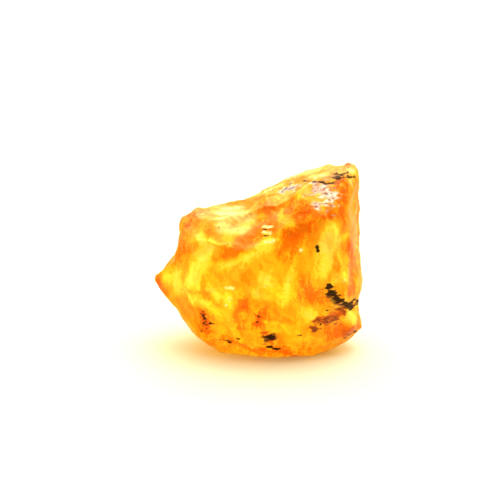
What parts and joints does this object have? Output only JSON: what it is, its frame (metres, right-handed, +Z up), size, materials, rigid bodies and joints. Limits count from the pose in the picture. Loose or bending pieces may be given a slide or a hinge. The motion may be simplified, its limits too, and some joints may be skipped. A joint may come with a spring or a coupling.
{
  "type": "rough spessartine garnet",
  "caption": "Rough orange garnet crystal fragment with broken and etched faces, a blunt side point, a high crest and a flat fracture face to rest on.",
  "frame": {"origin": "on the flat resting face, under the middle of the crystal's width and depth", "axes": "+Z up, away from the resting face; +X along the width, from the side point to the high crest; +Y to the back"},
  "size_m": [0.0124, 0.0094, 0.0112],
  "materials": {
    "garnet": "see-through orange crystal with a vitreous, uneven and etched surface and dark brown oxide stains"
  },
  "bodies": {
    "root": {"garnet": "garnet"}
  },
  "joints": []
}
